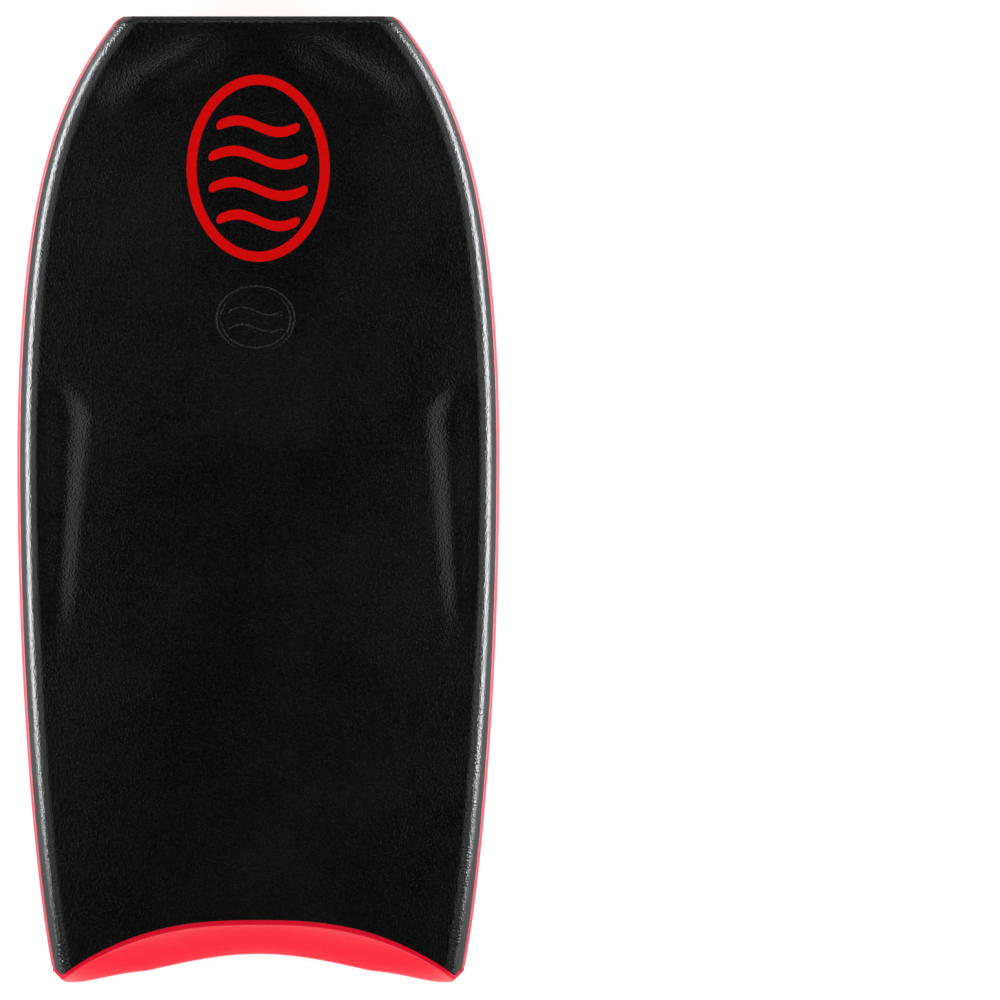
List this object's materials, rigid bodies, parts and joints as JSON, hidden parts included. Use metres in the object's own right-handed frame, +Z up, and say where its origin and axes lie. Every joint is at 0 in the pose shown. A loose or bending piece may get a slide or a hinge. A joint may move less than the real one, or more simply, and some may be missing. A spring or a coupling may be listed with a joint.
{
  "type": "bodyboard",
  "caption": "Prone-riding foam bodyboard with a crescent tail, layered foam rails, textured deck skin, channelled slick bottom and an inner stringer.",
  "frame": {"origin": "middle of the board's footprint, on the plane that the slick rests on", "axes": "+Y towards the nose, +X to the rider's right, +Z up out of the deck"},
  "size_m": [0.5336, 1.0669, 0.0847],
  "materials": {
    "deck_foam": "matte",
    "slick_plastic": "satin",
    "red_rail_foam": "satin",
    "black_rail_foam": "satin",
    "red_tail_foam": "satin",
    "core_foam": "matte",
    "mesh_fabric": "matte",
    "stringer_composite": "gloss",
    "plug_rubber": "matte",
    "red_ink": "satin",
    "black_ink": "satin"
  },
  "bodies": {
    "root": {"foam_core": "core_foam", "stringer_tube": "stringer_composite", "stringer_front_plug": "plug_rubber", "stringer_rear_plug": "plug_rubber", "bottom_mesh": "mesh_fabric", "slick": "slick_plastic", "deck_skin": "deck_foam", "left_inner_rail": "red_rail_foam", "right_inner_rail": "red_rail_foam", "left_outer_rail": "black_rail_foam", "right_outer_rail": "black_rail_foam", "nose_strip": "black_rail_foam", "tail_strip": "black_rail_foam", "tail_skin": "red_tail_foam", "deck_emblem": "red_ink", "slick_emblem": "black_ink", "slick_side_mark": "black_ink", "slick_tail_bars": "black_ink"}
  },
  "joints": []
}
